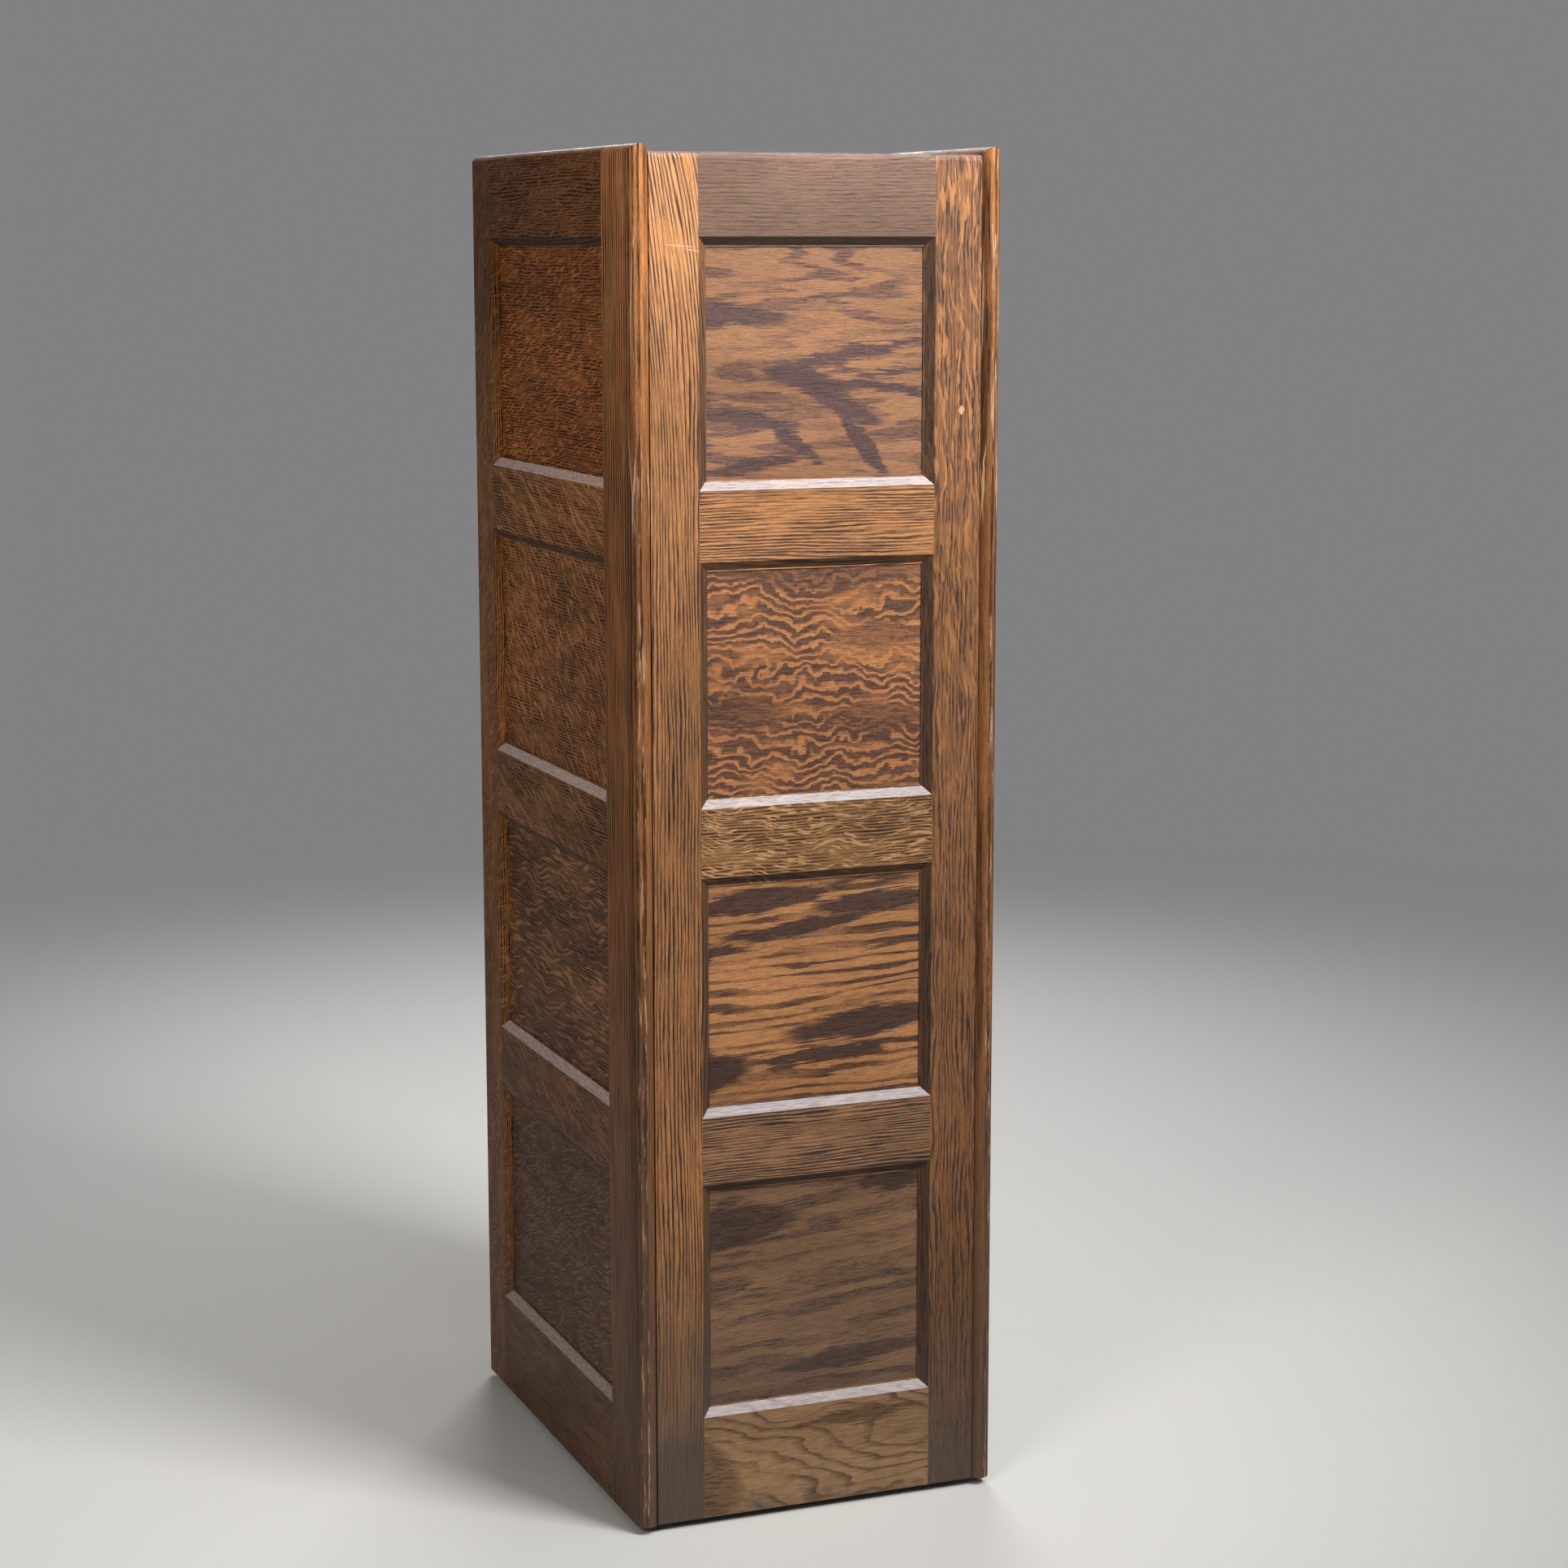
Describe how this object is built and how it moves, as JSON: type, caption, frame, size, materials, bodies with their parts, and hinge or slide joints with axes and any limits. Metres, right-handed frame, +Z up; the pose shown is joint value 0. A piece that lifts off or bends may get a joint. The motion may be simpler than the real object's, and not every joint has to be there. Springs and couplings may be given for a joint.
{
  "type": "barrister bookcase",
  "caption": "Tall narrow oak bookcase with framed, panelled sides and back and a stack of glazed doors that lift out and slide back over the books.",
  "frame": {"origin": "middle of the bottom of the bounding box, on the floor; the box includes the door knobs in front", "axes": "+Z up; the doors face -Y and the panelled back faces +Y; X runs across the case, +X on the right of someone facing the doors"},
  "size_m": [0.375, 0.5304, 1.329],
  "materials": {
    "stained_oak": "dark stained oak under worn satin varnish",
    "oak_panel": "dark stained oak veneer panels, grain running across",
    "inside_oak": "plain stained oak, matt",
    "clear_glass": "clear window glass",
    "brass": "aged brass",
    "steel": "dull steel"
  },
  "bodies": {
    "case": {"right_front_stile": "stained_oak", "right_back_stile": "stained_oak", "right_top_rail": "stained_oak", "right_mid_rails": "stained_oak", "right_bottom_rail": "stained_oak", "right_panels": "oak_panel", "left_front_stile": "stained_oak", "left_back_stile": "stained_oak", "left_top_rail": "stained_oak", "left_mid_rails": "stained_oak", "left_bottom_rail": "stained_oak", "left_panels": "oak_panel", "back_left_stile": "stained_oak", "back_right_stile": "stained_oak", "back_top_rail": "stained_oak", "back_mid_rails": "stained_oak", "back_bottom_rail": "stained_oak", "back_panels": "oak_panel", "top_board": "stained_oak", "shelf_1": "inside_oak", "shelf_2": "inside_oak", "shelf_3": "inside_oak", "base_board": "inside_oak", "front_top_rail": "stained_oak", "front_base_rail": "stained_oak", "corner_blocks": "inside_oak", "base_cleats": "inside_oak", "base_screws": "steel", "glides": "steel"},
    "carriage_1": {"door_1_pivot_rod": "steel", "door_1_pivot_shoes": "brass"},
    "door_1": {"door_1_stiles": "stained_oak", "door_1_rails": "stained_oak", "door_1_glass": "clear_glass", "door_1_beads": "stained_oak", "door_1_knobs": "brass"},
    "carriage_2": {"door_2_pivot_rod": "steel", "door_2_pivot_shoes": "brass"},
    "door_2": {"door_2_stiles": "stained_oak", "door_2_rails": "stained_oak", "door_2_glass": "clear_glass", "door_2_beads": "stained_oak", "door_2_knobs": "brass"},
    "carriage_3": {"door_3_pivot_rod": "steel", "door_3_pivot_shoes": "brass"},
    "door_3": {"door_3_stiles": "stained_oak", "door_3_rails": "stained_oak", "door_3_glass": "clear_glass", "door_3_beads": "stained_oak", "door_3_knobs": "brass"},
    "carriage_4": {"door_4_pivot_rod": "steel", "door_4_pivot_shoes": "brass"},
    "door_4": {"door_4_stiles": "stained_oak", "door_4_rails": "stained_oak", "door_4_glass": "clear_glass", "door_4_beads": "stained_oak", "door_4_knobs": "brass"}
  },
  "joints": [
    {"name": "door_1_recede", "type": "slide", "parent": "case", "child": "carriage_1", "axis": [0, 1, 0], "range_m": [0, 0.226]},
    {"name": "door_1_lift", "type": "hinge", "parent": "carriage_1", "child": "door_1", "pos_m": [0, -0.23025, 0.35575], "axis": [-1, 0, 0], "range_deg": [0, 90]},
    {"name": "door_2_recede", "type": "slide", "parent": "case", "child": "carriage_2", "axis": [0, 1, 0], "range_m": [0, 0.226]},
    {"name": "door_2_lift", "type": "hinge", "parent": "carriage_2", "child": "door_2", "pos_m": [0, -0.23025, 0.65625], "axis": [-1, 0, 0], "range_deg": [0, 90]},
    {"name": "door_3_recede", "type": "slide", "parent": "case", "child": "carriage_3", "axis": [0, 1, 0], "range_m": [0, 0.226]},
    {"name": "door_3_lift", "type": "hinge", "parent": "carriage_3", "child": "door_3", "pos_m": [0, -0.23025, 0.95675], "axis": [-1, 0, 0], "range_deg": [0, 90]},
    {"name": "door_4_recede", "type": "slide", "parent": "case", "child": "carriage_4", "axis": [0, 1, 0], "range_m": [0, 0.226]},
    {"name": "door_4_lift", "type": "hinge", "parent": "carriage_4", "child": "door_4", "pos_m": [0, -0.23025, 1.25725], "axis": [-1, 0, 0], "range_deg": [0, 90]}
  ]
}
